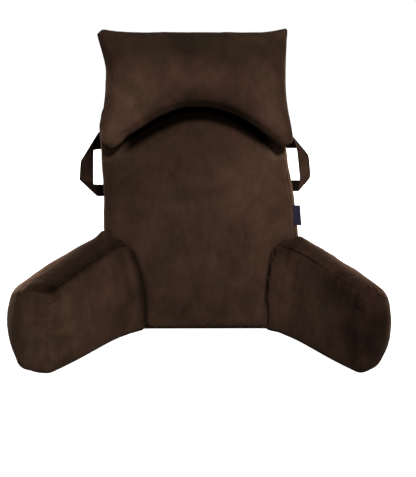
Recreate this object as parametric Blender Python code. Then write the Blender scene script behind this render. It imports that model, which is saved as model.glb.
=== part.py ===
"""Reading pillow with arms, with a neck pillow leaning on the top of its back.

It stands on its flat foot. +Z is up, and the open side between the arms faces -Y.
The origin is on the floor, under the middle of the whole object's box.
"""

import math

import bmesh
import bpy
from mathutils import Vector


def inches(**sizes):
    """Sizes given in inches, as the cushions are cut, in metres."""
    return {name: size * 0.0254 for name, size in sizes.items()}


# Driving sizes
SEWN_GAP = 0.0006  # metres between two pieces that are sewn together
RESTING_GAP = 0.0025  # metres between the neck pillow and the back it leans on
SEAM_DEPTH = 0.0025  # metres by which a sewn edge is drawn in
ARC_STEPS = 3  # grid steps over each half of a rounded edge

BACK = inches(
    width=18.0, height=24.3, foot_depth=6.2, top_depth=4.2, rounding=1.0, shoulder=5.0,
    side_crown=0.15, panel_crown=0.60, top_crown=0.15,
)
BACK_RECLINE = math.radians(8.0)
BACK_GRID = (11, 3, 12)
# Half the back's width at each height, and how far its middle stands to the right there
BACK_OUTLINE = [
    inches(height=0.0, half=9.30, shift=0.60),
    inches(height=9.0, half=9.25, shift=0.27),
    inches(height=13.7, half=8.90, shift=-0.08),
    inches(height=16.7, half=8.65, shift=-0.43),
    inches(height=19.5, half=8.65, shift=-0.58),
    inches(height=24.0, half=8.45, shift=-0.70),
]

ARM = inches(
    start=-3.1, tip_height=7.65, rounding=0.50, inner_crown=0.15, end_crown=0.20,
    root_rise=0.30, hollow=0.62, tip_reach=4.2,
)
ARM_GRID = (11, 5, 6)
# Shares of the way from a square edge to a ball's, how steeply the top falls to the outer side, and how
# much less the nose stands out at the top than at the foot
ARM_ROUND = {"tip": 0.50, "foot": 0.70, "top": 0.36, "fall": 0.88, "nose_fall": 0.5}
# Where each arm's inner face meets the back's front, its splay in degrees, and its size
ARMS = [
    dict(name="arm_left", side=-1, splay=39.4, **inches(
        root=5.33, length=11.80, root_height=8.75, root_width=5.4, tip_width=7.1, lean=1.70, tip_lean=-0.35,
        root_crest=0.80, tip_crest=0.45, nose=1.40)),
    dict(name="arm_right", side=1, splay=38.2, **inches(
        root=6.60, length=11.8, root_height=8.75, root_width=4.4, tip_width=5.35, lean=1.15, tip_lean=-0.10,
        root_crest=0.40, tip_crest=0.30, nose=0.60)),
]

NECK = inches(
    foot_height=17.60, length=11.10, foot_clear=1.35, front_swell=2.2, rear_swell=1.8, ears=0.42,
)
NECK_RECLINE = math.radians(13.0)
NECK_FULLNESS = 0.46  # the smaller, the more evenly the pillow is filled up to its seams
NECK_GRID = (30, 18)
NECK_EAR_POWER = 7  # the larger, the straighter the top seam runs before it rises to its two corners
NECK_ARCH = inches(rise=4.20, middle=0.10, half=8.2)
NECK_ARCH_POWER = 1.15
# Where each lobe starts to curl up, past the arch's half width, and how far it has curled up after a span
NECK_LOBE = {"start": 0.93, "span": 0.11, **inches(rise=1.1)}
# The neck pillow's two side seams, at shares of the way from its foot to its top
NECK_SIDES = [
    dict(share=0.00, **inches(left=-8.45, right=8.35)),
    dict(share=0.12, **inches(left=-8.80, right=8.45)),
    dict(share=0.28, **inches(left=-8.60, right=8.15)),
    dict(share=0.45, **inches(left=-8.38, right=7.88)),
    dict(share=0.65, **inches(left=-8.34, right=7.84)),
    dict(share=0.86, **inches(left=-8.90, right=7.90)),
    dict(share=1.00, **inches(left=-9.25, right=8.00)),
]

STRAP = {"thickness": 0.0035, "depth_share": 0.75, **inches(start=8.0)}
# Each handle's folded outline: the heights of its corners, and their distances from the middle plane
HANDLES = [
    dict(name="handle_left", side=-1, **inches(
        mouth=9.75, top=18.45, shoulder=11.60, shoulder_height=15.6, reach=11.78, elbow_height=13.75,
        elbow=10.1, foot=12.10, hole_top=16.75, hole_top_reach=10.30, hole_foot=13.28,
        hole_foot_reach=10.42)),
    dict(name="handle_right", side=1, **inches(
        mouth=9.10, top=18.20, shoulder=10.85, shoulder_height=16.2, reach=11.10, elbow_height=14.0,
        elbow=9.9, foot=12.6, hole_top=16.88, hole_top_reach=9.65, hole_foot=13.70, hole_foot_reach=10.05)),
]
LABEL = {"thickness": 0.0016, **inches(start=8.0, reach=9.74, foot=10.25, height=1.9, setback=0.3)}

VELOUR = {"color": (0.040, 0.022, 0.015, 1.0), "roughness": 0.9}
STRAP_CLOTH = {"color": (0.024, 0.014, 0.010, 1.0), "roughness": 0.85}
LABEL_CLOTH = {"color": (0.030, 0.028, 0.075, 1.0), "roughness": 0.7}


def mix(a, b, share):
    return a + (b - a) * share


def column_at(table, key, place, column):
    """The column's value at that place of the key, on a smooth curve through the table's rows."""
    place = min(max(place, table[0][key]), table[-1][key])
    i = min(sum(row[key] <= place for row in table), len(table) - 1) - 1
    before, low, high, after = (table[min(max(k, 0), len(table) - 1)] for k in range(i - 1, i + 3))
    span = high[key] - low[key]
    t = (place - low[key]) / span
    low_slope = (high[column] - before[column]) / (high[key] - before[key]) * span
    high_slope = (after[column] - low[column]) / (after[key] - low[key]) * span
    value = (2 * t**3 - 3 * t**2 + 1) * low[column] + (3 * t**2 - 2 * t**3) * high[column]
    return value + (t**3 - 2 * t**2 + t) * low_slope + (t**3 - t**2) * high_slope


def rounded_share(a, b):
    """How far a box's side is drawn in towards a ball's, for squared shares of the way to its edges."""
    return math.sqrt(1 - a / 2 - b / 2 + a * b / 3)


def early_bump(share):
    """A bump that is 1 at a quarter of the way, and 0 at both ends."""
    return 256 / 27 * share * (1 - share) ** 3


# ---- Filled blocks


def grid_stops(half, radius, spans):
    """Grid places along one side of a block, closer together over its rounded edges."""
    flat = half - radius
    arc = [radius * math.tan(math.radians(45 * k / ARC_STEPS)) for k in range(1, ARC_STEPS + 1)]
    middle = [mix(-flat, flat, k / spans) for k in range(spans + 1)]
    return [-flat - step for step in reversed(arc)] + middle + [flat + step for step in arc]


def rounded_edge(point, half, radius):
    """A point of a box's surface, moved onto that box with rounded edges, drawn in where they are sewn."""
    core = Vector(min(max(p, radius - h), h - radius) for p, h in zip(point, half))
    sewn = sum(abs(abs(p) - h) < 1e-9 for p, h in zip(point, half)) > 1
    return core + (point - core).normalized() * (radius - SEAM_DEPTH if sewn else radius)


def crowned(point, half, crowns):
    """The point, pushed out by the filling towards the middle of its panel, but not underneath."""
    shares = [p / h for p, h in zip(point, half)]
    out = point.copy()
    for axis, share in enumerate(shares):
        if axis < 2 or share > 0:
            a, b = (1 - min(shares[k] ** 2, 1.0) for k in range(3) if k != axis)
            out[axis] += crowns[axis] * a * b * share * abs(share)
    return out


def block_mesh(name, half, radius, spans, crowns, place):
    """A filled block: a rounded, crowned box, each of whose points place() moves into its final shape."""
    stops = [grid_stops(h, radius, n) for h, n in zip(half, spans)]
    shape = bmesh.new()
    made = {}

    def vertex(key):
        if key not in made:
            point = Vector(stops[axis][key[axis]] for axis in range(3))
            made[key] = shape.verts.new(place(crowned(rounded_edge(point, half, radius), half, crowns)))
        return made[key]

    for axis in range(3):
        a, b = (k for k in range(3) if k != axis)
        for end in (0, len(stops[axis]) - 1):
            for i in range(len(stops[a]) - 1):
                for j in range(len(stops[b]) - 1):
                    keys = []
                    for di, dj in ((0, 0), (1, 0), (1, 1), (0, 1)):
                        key = [end] * 3
                        key[a] = i + di
                        key[b] = j + dj
                        keys.append(tuple(key))
                    shape.faces.new([vertex(key) for key in keys])
    return finished_mesh(name, shape)


def finished_mesh(name, shape):
    bmesh.ops.recalc_face_normals(shape, faces=shape.faces)
    mesh = bpy.data.meshes.new(name)
    shape.to_mesh(mesh)
    shape.free()
    mesh.shade_smooth()
    return mesh


# ---- The back


def back_shift(z):
    return column_at(BACK_OUTLINE, "height", z, "shift")


def back_half(z):
    return column_at(BACK_OUTLINE, "height", z, "half")


def back_depth(z, share):
    """A place between the back's front, at 0, and its rear, at 1, at a height and without the crowns."""
    slope = math.tan(BACK_RECLINE)
    rear_top = BACK["height"] * slope + BACK["top_depth"]
    rear = mix(BACK["foot_depth"], rear_top, z / BACK["height"])
    return mix(z * slope, rear, share)


def past_shoulder(value, end):
    """How far a place is into a shoulder's rounding, from 0 at its start to 1 at the end."""
    return max(value - end + BACK["shoulder"], 0.0) / BACK["shoulder"]


def back_point(point):
    half_width, reach = BACK["width"] / 2, BACK["shoulder"]
    x, z = point.x, point.z + BACK["height"] / 2
    # The grid's two top corners go onto quarter circles
    out = past_shoulder(abs(x), half_width)
    up = past_shoulder(z, BACK["height"])
    if out > 0 and up > 0:
        x = math.copysign(half_width - reach + reach * out * rounded_share(up**2, 0), x)
        z = BACK["height"] - reach + reach * up * rounded_share(out**2, 0)
    share = point.y / BACK["foot_depth"] + 0.5
    return Vector((x * back_half(z) / half_width + back_shift(z), back_depth(z, share), z))


def back_mesh(name):
    half = Vector((BACK["width"], BACK["foot_depth"], BACK["height"])) / 2
    crowns = (BACK["side_crown"], BACK["panel_crown"], BACK["top_crown"])
    return block_mesh(name, half, BACK["rounding"], BACK_GRID, crowns, back_point)


def front_at(x, z):
    """The back's front face, with its crown."""
    u = (x - back_shift(z)) / back_half(z)
    w = 2 * z / BACK["height"] - 1
    return back_depth(z, 0) - BACK["panel_crown"] * max(1 - u**2, 0.0) * max(1 - w**2, 0.0)


def top_at(x):
    """The height of the back's top edge, with its crown and its shoulders."""
    out = min(past_shoulder(abs(x - back_shift(BACK["height"])), BACK["width"] / 2), 1.0)
    return BACK["height"] + BACK["top_crown"] - BACK["shoulder"] * (1 - math.sqrt(1 - out**2))


# ---- The arms


def arm_point(row, reach, outer, level):
    """A place on an arm, from its distance along it and its shares of the width and the height.

    It is given along the arm, across it towards the outer side, and up.
    """
    share = min(max(reach / row["length"], 0.0), 1.0)
    straight = row["length"] - ARM["tip_reach"]
    tip = max((reach - straight) / ARM["tip_reach"], 0.0)
    far = max(outer, 0.0)
    bulge = 1 - (2 * outer - 1) ** 2
    steep = ARM_ROUND["top"] if level > 0.5 else ARM_ROUND["foot"]
    high = steep * (2 * level - 1) ** 2

    across = mix(row["root_width"], row["tip_width"], share) * outer
    across *= rounded_share(ARM_ROUND["tip"] * tip**2, high)
    # The inner face leans out towards its top, and curves away from the back
    across += mix(row["lean"], row["tip_lean"], share) * level**2 * (1 - outer)
    across += ARM["hollow"] * early_bump(share) * (1 - outer)

    along = reach
    if tip > 0:
        along = straight + ARM["tip_reach"] * tip * rounded_share(ARM_ROUND["tip"] * far**2, high * far)
        along += row["nose"] * bulge * min(tip, 1.0) ** 3 * (1 - ARM_ROUND["nose_fall"] * level)

    top = mix(row["root_height"], ARM["tip_height"], share)
    top += mix(row["root_crest"], row["tip_crest"], share) * bulge + ARM["root_rise"] * (1 - share) * far
    up = level * top * rounded_share(ARM_ROUND["fall"] * share * far**2, 0)
    return along, across, up


def arm_mesh(row):
    splay = math.radians(row["splay"])
    ahead = Vector((row["side"] * math.sin(splay), -math.cos(splay), 0))
    outward = Vector((row["side"] * math.cos(splay), math.sin(splay), 0))
    root = Vector((row["side"] * row["root"], 0, 0))
    half = Vector((row["length"] - ARM["start"], row["root_width"], row["root_height"])) / 2
    crowns = (ARM["end_crown"], ARM["inner_crown"], 0.0)

    def place(point):
        reach = point.x + half.x + ARM["start"]
        along, across, up = arm_point(row, reach, point.y / half.y / 2 + 0.5, point.z / half.z / 2 + 0.5)
        return root + ahead * along + outward * across + Vector((0, 0, up))

    return block_mesh(row["name"], half, ARM["rounding"], ARM_GRID, crowns, place)


# ---- The neck pillow


def neck_outline(u, v):
    """A place on the plane of the neck pillow's seam: to the right of the middle, and up from its foot."""
    left = column_at(NECK_SIDES, "share", v, "left")
    right = column_at(NECK_SIDES, "share", v, "right")
    foot_x = mix(NECK_SIDES[0]["left"], NECK_SIDES[0]["right"], u)
    past = abs(foot_x - NECK_ARCH["middle"]) / NECK_ARCH["half"]
    # The arch falls to a lobe on each side, and each lobe curls up again to the side seam
    lobe = NECK_LOBE["rise"] * (max(past - NECK_LOBE["start"], 0.0) / NECK_LOBE["span"]) ** 2
    foot = NECK_ARCH["rise"] * max(1 - past**2, 0.0) ** NECK_ARCH_POWER + lobe
    top = NECK["length"] - NECK["ears"] * (1 - abs(2 * u - 1) ** NECK_EAR_POWER)
    return mix(left, right, u), mix(foot, top, v)


def neck_point(u, v, swell):
    """A place on the neck pillow, swollen forwards where swell is negative and backwards where positive."""
    across, up = neck_outline(u, v)
    out = swell * (16 * u * (1 - u) * v * (1 - v)) ** NECK_FULLNESS
    foot_y = front_at(0, NECK["foot_height"]) - NECK["foot_clear"]
    y = foot_y + up * math.sin(NECK_RECLINE) + out * math.cos(NECK_RECLINE)
    z = NECK["foot_height"] + up * math.cos(NECK_RECLINE) - out * math.sin(NECK_RECLINE)
    # It leans on the back's front face and on the rounded edge at the back's top
    radius = BACK["rounding"]
    over = max(z - top_at(across) + radius, 0.0)
    if over < radius:
        rounding = radius - math.sqrt(radius**2 - over**2)
        y = min(y, front_at(across, z) + rounding - RESTING_GAP)
    return Vector((across, y, z))


def neck_mesh(name):
    columns, rows = NECK_GRID
    shape = bmesh.new()
    made = {}

    def vertex(i, j, swell):
        on_seam = i in (0, columns) or j in (0, rows)
        key = (i, j, 0 if on_seam else swell)
        if key not in made:
            made[key] = shape.verts.new(neck_point(i / columns, j / rows, swell))
        return made[key]

    for swell in (-NECK["front_swell"], NECK["rear_swell"]):
        for i in range(columns):
            for j in range(rows):
                corners = ((i, j), (i + 1, j), (i + 1, j + 1), (i, j + 1))
                shape.faces.new([vertex(a, b, swell) for a, b in corners])
    return finished_mesh(name, shape)


# ---- Flat pieces sewn to the back


def plate_mesh(name, outline, thickness, depth):
    """A flat piece with that outline of (x, z) points, at the depth that depth() gives for each height."""
    shape = bmesh.new()
    rings = []
    for layer in (-0.5, 0.5):
        rings.append([shape.verts.new((x, depth(z) + layer * thickness, z)) for x, z in outline])
        shape.faces.new(rings[-1])
    front, rear = rings
    for i in range(len(outline)):
        j = (i + 1) % len(outline)
        shape.faces.new((front[i], front[j], rear[j], rear[i]))
    mesh = finished_mesh(name, shape)
    mesh.shade_flat()
    return mesh


def handle_mesh(row):
    """A strap folded flat round its corners, with both its ends inside the back's side."""
    start = STRAP["start"]
    outline = [
        (start, row["top"]), (row["mouth"], row["top"]), (row["shoulder"], row["shoulder_height"]),
        (row["reach"], row["elbow_height"]), (row["elbow"], row["foot"]), (start, row["foot"]),
        (start, row["hole_foot"]), (row["hole_foot_reach"], row["hole_foot"]),
        (row["hole_top_reach"], row["hole_top"]), (start, row["hole_top"]),
    ]
    outline = [(row["side"] * x, z) for x, z in outline]

    def depth(z):
        return back_depth(z, STRAP["depth_share"])

    return plate_mesh(row["name"], outline, STRAP["thickness"], depth)


def label_mesh(name):
    start, reach, foot = LABEL["start"], LABEL["reach"], LABEL["foot"]
    top = foot + LABEL["height"]
    outline = [(start, foot), (reach, foot), (reach, top), (start, top)]

    def depth(z):
        return back_depth(z, 0) + LABEL["setback"]

    return plate_mesh(name, outline, LABEL["thickness"], depth)


# ---- Putting it together


def cloth(name, look):
    material = bpy.data.materials.new(name)
    material.use_nodes = True
    shader = material.node_tree.nodes["Principled BSDF"]
    shader.inputs["Base Color"].default_value = look["color"]
    shader.inputs["Roughness"].default_value = look["roughness"]
    shader.inputs["Metallic"].default_value = 0.0
    return material


def add_piece(name, mesh, material):
    piece = bpy.data.objects.new(name, mesh)
    mesh.materials.append(material)
    bpy.context.scene.collection.objects.link(piece)
    return piece


def sew_to_back(piece, back):
    """Cuts the piece's end along the back's surface, a sewn gap away from it."""
    cutter = add_piece(piece.name + "_cutter", back.data.copy(), back.active_material)
    for vertex in cutter.data.vertices:
        vertex.co += vertex.normal * SEWN_GAP
    cutter.hide_render = True
    cutter.display_type = "WIRE"
    cut = piece.modifiers.new("sewn_end", "BOOLEAN")
    cut.operation = "DIFFERENCE"
    cut.object = cutter
    return cutter


def centre_over_origin(objects):
    """Parents the objects to an empty that puts the middle of their box over the origin."""
    bpy.context.view_layer.update()
    depsgraph = bpy.context.evaluated_depsgraph_get()
    corners = []
    for obj in objects:
        if not obj.hide_render:
            corners += [Vector(corner) for corner in obj.evaluated_get(depsgraph).bound_box]
    holder = bpy.data.objects.new("floor_centre", None)
    bpy.context.scene.collection.objects.link(holder)
    for axis in (0, 1):
        sides = [corner[axis] for corner in corners]
        holder.location[axis] = -(min(sides) + max(sides)) / 2
    for obj in objects:
        obj.parent = holder


def main():
    for obj in list(bpy.data.objects):
        bpy.data.objects.remove(obj)
    velour = cloth("velour", VELOUR)
    strap_cloth = cloth("strap_cloth", STRAP_CLOTH)
    label_cloth = cloth("label_cloth", LABEL_CLOTH)

    back = add_piece("back", back_mesh("back"), velour)
    sewn = [add_piece(row["name"], arm_mesh(row), velour) for row in ARMS]
    sewn += [add_piece(row["name"], handle_mesh(row), strap_cloth) for row in HANDLES]
    sewn += [add_piece("label", label_mesh("label"), label_cloth)]
    neck = add_piece("neck_pillow", neck_mesh("neck_pillow"), velour)
    cutters = [sew_to_back(piece, back) for piece in sewn]
    centre_over_origin([back, neck] + sewn + cutters)


main()
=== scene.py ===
import math

import bmesh
import bpy
import numpy as np
from mathutils import Matrix, Vector, noise
from mathutils.bvhtree import BVHTree
from mathutils.kdtree import KDTree


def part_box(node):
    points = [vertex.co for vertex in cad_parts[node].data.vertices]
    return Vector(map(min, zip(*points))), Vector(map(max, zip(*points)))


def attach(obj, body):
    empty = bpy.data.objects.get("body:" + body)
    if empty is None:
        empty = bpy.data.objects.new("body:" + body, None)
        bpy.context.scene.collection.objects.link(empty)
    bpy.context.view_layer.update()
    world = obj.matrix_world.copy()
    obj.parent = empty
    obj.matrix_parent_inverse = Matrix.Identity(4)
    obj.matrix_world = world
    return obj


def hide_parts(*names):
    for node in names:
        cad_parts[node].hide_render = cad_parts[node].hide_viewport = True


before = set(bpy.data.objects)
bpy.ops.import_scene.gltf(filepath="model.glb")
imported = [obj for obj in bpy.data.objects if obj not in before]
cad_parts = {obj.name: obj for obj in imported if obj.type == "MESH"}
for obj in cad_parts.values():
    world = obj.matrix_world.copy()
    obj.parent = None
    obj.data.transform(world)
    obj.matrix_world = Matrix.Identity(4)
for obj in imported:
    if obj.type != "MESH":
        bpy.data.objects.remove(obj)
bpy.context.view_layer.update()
scene = bpy.context.scene


# Metres throughout; pixels are those of the 416 x 477 picture
cameraPlan = {
    "target": (0.0006, 0.0197, 0.3302),
    "targetPixel": (198.7, 202.2),
    "picture": (416, 477),
    "distance": 1.905,
    "elevation": 15.0,
    "focal": 810.0,  # pixels
    "sensor": 36.0,
}


def makeCamera(plan):
    lens = bpy.data.cameras.new("camera")
    lens.sensor_width = plan["sensor"]
    lens.lens = plan["sensor"] * plan["focal"] / max(plan["picture"])
    lens.clip_start = 0.01
    camera = bpy.data.objects.new("camera", lens)
    scene.collection.objects.link(camera)
    rise = math.radians(plan["elevation"])
    away = Vector((0, -math.cos(rise), math.sin(rise)))
    turns = [(plan["targetPixel"][i] - plan["picture"][i] / 2) / plan["focal"] for i in range(2)]
    aim = (-away).to_track_quat("-Z", "Y").to_matrix()
    aim = aim @ Matrix.Rotation(math.atan(turns[0]), 3, "Y") @ Matrix.Rotation(math.atan(turns[1]), 3, "X")
    camera.matrix_world = Matrix.LocRotScale(Vector(plan["target"]) + away * plan["distance"], aim, None)
    scene.camera = camera
    return camera


def pixelRay(plan, camera, pixel):
    right, down = ((pixel[i] - plan["picture"][i] / 2) / plan["focal"] for i in range(2))
    start = camera.matrix_world.translation
    return start, (camera.matrix_world.to_3x3() @ Vector((right, -down, -1))).normalized()


camera = makeCamera(cameraPlan)
print("camera made")


# Shader helpers
def setInputs(tree, made, inputs):
    for key, value in inputs.items():
        if isinstance(value, bpy.types.NodeSocket):
            tree.links.new(value, made.inputs[key])
        else:
            made.inputs[key].default_value = value


def addNode(tree, kind, inputs=None, **settings):
    made = tree.nodes.new(kind)
    for key, value in settings.items():
        setattr(made, key, value)
    setInputs(tree, made, inputs or {})
    return made


def attribute(tree, name):
    return addNode(tree, "ShaderNodeAttribute", attribute_name=name).outputs["Fac"]


def objectPlace(tree):
    return addNode(tree, "ShaderNodeTexCoord").outputs["Object"]


# A colour mix names its sockets alike for each type, so they are given by place
def mixed(tree, share, first, second):
    made = addNode(tree, "ShaderNodeMix", {0: share, 6: first, 7: second}, data_type="RGBA")
    return made.outputs[2]


def scaled(tree, color, factor):
    return addNode(tree, "ShaderNodeVectorMath", {0: color, "Scale": factor}, operation="SCALE").outputs[0]


# One shader for what the camera sees, and another for the light that is thrown on
def byCamera(tree, thrown, seen):
    isSeen = addNode(tree, "ShaderNodeLightPath").outputs["Is Camera Ray"]
    return addNode(tree, "ShaderNodeMixShader", {0: isSeen, 1: thrown, 2: seen}).outputs[0]


def newMaterial(name):
    material = bpy.data.materials.new(name)
    material.use_nodes = True
    return material, material.node_tree, material.node_tree.nodes["Principled BSDF"]


def maths(tree, operation, a, b=0.0, c=0.0, clamp=False):
    made = addNode(tree, "ShaderNodeMath", {0: a, 1: b, 2: c}, operation=operation, use_clamp=clamp)
    return made.outputs[0]


def ramp(tree, value, fromLow, fromHigh, low=0.0, high=1.0, kind="LINEAR"):
    made = addNode(tree, "ShaderNodeMapRange", {
        "Value": value, "From Min": fromLow, "From Max": fromHigh, "To Min": low, "To Max": high},
        interpolation_type=kind)
    return made.outputs[0]


def newGroup(name, kind, inputs, outputs):
    tree = bpy.data.node_groups.new(name, kind)
    for label, socketKind, value in inputs:
        socket = tree.interface.new_socket(label, in_out="INPUT", socket_type=socketKind)
        if value is not None:
            socket.default_value = value
    for label, socketKind in outputs:
        tree.interface.new_socket(label, in_out="OUTPUT", socket_type=socketKind)
    return tree, tree.nodes.new("NodeGroupInput").outputs, tree.nodes.new("NodeGroupOutput").inputs


lightPlan = {
    "ambient": 0.05,
    "key": {"from": (0.28, -1.0, 0.75), "reach": 3.2, "size": 0.45, "power": 112.0},
    "fill": {"from": (-0.8, -1.0, 0.35), "reach": 3.0, "size": 2.4, "power": 8.0},
    "rimLeft": {"from": (-1.0, 1.1, 0.16), "reach": 2.6, "size": 0.6, "power": 100.0},
    "rimRight": {"from": (1.0, 1.1, 0.16), "reach": 2.6, "size": 0.6, "power": 100.0},
}


# The camera sees plain white around the floor, and the cloth a dimmer room
def makeLights(plan):
    world = bpy.data.worlds.new("studio")
    scene.world = world
    world.use_nodes = True
    tree = world.node_tree
    white = {"Color": (1.0, 1.0, 1.0, 1.0)}
    room = addNode(tree, "ShaderNodeBackground", {**white, "Strength": plan["ambient"]})
    seen = addNode(tree, "ShaderNodeBackground", {**white, "Strength": 1.0})
    both = byCamera(tree, room.outputs[0], seen.outputs[0])
    tree.links.new(both, tree.nodes["World Output"].inputs["Surface"])
    middle = Vector(cameraPlan["target"])
    for name in ("key", "fill", "rimLeft", "rimRight"):
        row = plan[name]
        lamp = bpy.data.lights.new(name, "AREA")
        lamp.shape = "DISK"
        lamp.size = row["size"]
        lamp.energy = row["power"]
        away = Vector(row["from"]).normalized()
        light = bpy.data.objects.new(name, lamp)
        scene.collection.objects.link(light)
        light.matrix_world = Matrix.LocRotScale(
            middle + away * row["reach"], (-away).to_track_quat("-Z", "Y"), None)


makeLights(lightPlan)
scene.view_settings.view_transform = "Standard"
scene.view_settings.look = "None"
print("lights made")


# A short nap: soft patches where it lies differently, and single fibres
def napGroup():
    tree, given, result = newGroup(
        "shortNap", "ShaderNodeTree",
        [("Place", "NodeSocketVector", None), ("Warm", "NodeSocketColor", (0.06, 0.03, 0.02, 1)),
         ("Cool", "NodeSocketColor", (0.03, 0.02, 0.01, 1)), ("Tone", "NodeSocketFloat", 1.0),
         ("Hue", "NodeSocketFloat", 0.0), ("Patch Scale", "NodeSocketFloat", 14.0),
         ("Patch Contrast", "NodeSocketFloat", 0.3), ("Fibre Scale", "NodeSocketFloat", 1100.0),
         ("Fibre Contrast", "NodeSocketFloat", 0.2)],
        [("Color", "NodeSocketColor"), ("Roughness", "NodeSocketFloat"), ("Height", "NodeSocketFloat")])

    def cloud(scaleSocket, factor, detail, rough=0.55, warp=0.0, stretch=None):
        spot = given["Place"]
        if stretch:
            spot = addNode(tree, "ShaderNodeMapping", {"Vector": spot, "Scale": stretch}).outputs[0]
        return addNode(tree, "ShaderNodeTexNoise", {
            "Vector": spot, "Scale": maths(tree, "MULTIPLY", scaleSocket, factor), "Detail": detail,
            "Roughness": rough, "Distortion": warp}).outputs["Fac"]

    broad = cloud(given["Patch Scale"], 0.5, 1.0, warp=0.3)
    patch = cloud(given["Patch Scale"], 1.5, 2.0, 0.5, 0.4, (1.0, 1.0, 0.8))
    brushed = cloud(given["Patch Scale"], 7.0, 3.0, 0.6, 0.3, (1.0, 1.0, 0.45))
    speck = cloud(given["Patch Scale"], 22.0, 2.0, 0.7)
    fibre = cloud(given["Fibre Scale"], 1.0, 1.0, 0.6)
    lay = maths(tree, "MULTIPLY", broad, 0.26)
    lay = maths(tree, "MULTIPLY_ADD", patch, 0.34, lay)
    lay = maths(tree, "MULTIPLY_ADD", brushed, 0.20, lay)
    lay = maths(tree, "MULTIPLY_ADD", speck, 0.20, lay)
    lay = ramp(tree, lay, 0.38, 0.62, -1.0, 1.0)
    light = maths(tree, "MULTIPLY_ADD", lay, given["Patch Contrast"], 1.0)
    sparkle = maths(tree, "SUBTRACT", fibre, 0.5)
    light = maths(tree, "MULTIPLY_ADD", sparkle, given["Fibre Contrast"], light)
    light = maths(tree, "MULTIPLY", light, given["Tone"])
    hue = ramp(tree, cloud(given["Patch Scale"], 1.4, 3.0, 0.6, 0.4), 0.25, 0.75)
    hue = maths(tree, "ADD", hue, given["Hue"], clamp=True)
    cloth = mixed(tree, hue, given["Cool"], given["Warm"])
    tree.links.new(scaled(tree, cloth, light), result["Color"])
    tree.links.new(maths(tree, "MULTIPLY_ADD", patch, -0.2, 1.0, clamp=True), result["Roughness"])
    tree.links.new(maths(tree, "MULTIPLY_ADD", speck, 1.4, fibre), result["Height"])
    return tree


nap = napGroup()

velourPlan = {
    "warm": (0.0460, 0.0235, 0.0160, 1.0),
    "cool": (0.0350, 0.0216, 0.0130, 1.0),
    "patchScale": 15.0,  # waves in a metre
    "patchContrast": 0.28,
    "fibreScale": 1100.0,
    "fibreContrast": 0.3,
    "sheen": 0.07,
    "sheenRoughness": 0.35,
    "sheenTint": (0.92, 0.64, 0.48, 1.0),
    "bump": 0.6,
    "fibreDepth": 0.0003,
    "seamWidth": 0.0021,  # half the width of the dark line where two panels meet
    "seamShade": 0.12,
    "seamDepth": 3.0,  # against the height of the fibres
    "seamEnd": 0.006,
}

strapPlan = {
    **velourPlan,
    "warm": (0.0370, 0.0195, 0.0135, 1.0),
    "cool": (0.0235, 0.0140, 0.0095, 1.0),
    "patchScale": 32.0,
    "sheen": 0.16,
}


def velour(name, plan, hasSeams=True):
    material, tree, shader = newMaterial(name)
    # The tone holds the nap's own variation together with painted light and shade
    tone = attribute(tree, "napAndPaintedLight")
    if hasSeams:
        # The signed distance crosses 0 on the seam, however coarse the mesh is there
        side = maths(tree, "ABSOLUTE", attribute(tree, "seamSide"))
        line = ramp(tree, side, 0.0, plan["seamWidth"], 1.0, 0.0, "SMOOTHSTEP")
        near = ramp(tree, attribute(tree, "seamReach"), plan["seamEnd"] / 2, plan["seamEnd"], 1.0, 0.0)
        line = maths(tree, "MULTIPLY", line, near)
        line = maths(tree, "MULTIPLY", line, attribute(tree, "seamWeight"))
        away = maths(tree, "MULTIPLY_ADD", line, plan["seamShade"] - 1.0, 1.0)
        tone = maths(tree, "MULTIPLY", tone, away)
    cloth = addNode(tree, "ShaderNodeGroup", {
        "Place": objectPlace(tree), "Warm": plan["warm"], "Cool": plan["cool"], "Tone": tone,
        "Hue": attribute(tree, "napHue"), "Patch Scale": plan["patchScale"],
        "Patch Contrast": plan["patchContrast"], "Fibre Scale": plan["fibreScale"],
        "Fibre Contrast": plan["fibreContrast"]}, node_tree=nap)
    height = cloth.outputs["Height"]
    if hasSeams:
        height = maths(tree, "MULTIPLY_ADD", away, plan["seamDepth"], height)
    bump = addNode(tree, "ShaderNodeBump", {
        "Strength": plan["bump"], "Distance": plan["fibreDepth"], "Height": height})
    setInputs(tree, shader, {
        "Base Color": cloth.outputs["Color"], "Roughness": cloth.outputs["Roughness"],
        "Normal": bump.outputs["Normal"], "Sheen Weight": plan["sheen"],
        "Sheen Roughness": plan["sheenRoughness"], "Sheen Tint": plan["sheenTint"],
        "Specular IOR Level": 0.0})
    return material


velourCloth = velour("brownVelour", velourPlan)
strapCloth = velour("strapVelour", strapPlan, hasSeams=False)
print("cloth made")


# Solids of the frame, and the lines where their panels are sewn together
def solidShape(node):
    shape = bmesh.new()
    shape.from_mesh(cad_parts[node].data)
    bmesh.ops.remove_doubles(shape, verts=shape.verts, dist=1e-5)
    return shape


def surfaceOf(node):
    shape = solidShape(node)
    tree = BVHTree.FromBMesh(shape)
    shape.free()
    return tree


def chainsOf(edges):
    meeting = {}
    for edge in edges:
        for corner in edge.verts:
            meeting.setdefault(corner, []).append(edge)
    left = set(edges)
    chains = []
    ends = [corner for corner in meeting if len(meeting[corner]) != 2]
    for start in ends + list(meeting):
        for edge in meeting[start]:
            if edge not in left:
                continue
            corner, path = start, [start.co.copy()]
            while edge is not None:
                left.discard(edge)
                corner = edge.other_vert(corner)
                path.append(corner.co.copy())
                onward = [other for other in meeting[corner] if other in left]
                edge = onward[0] if len(meeting[corner]) == 2 and onward else None
            chains.append(path)
    return chains


def evenPoints(points, count):
    coords = np.array(points, dtype=float)
    lengths = np.concatenate([[0.0], np.cumsum(np.linalg.norm(np.diff(coords, axis=0), axis=1))])
    places = np.linspace(0.0, lengths[-1], count)
    return np.stack([np.interp(places, lengths, column) for column in coords.T], axis=1), lengths[-1]


seamStep = 0.001  # metres between the points of a seam's line


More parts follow.
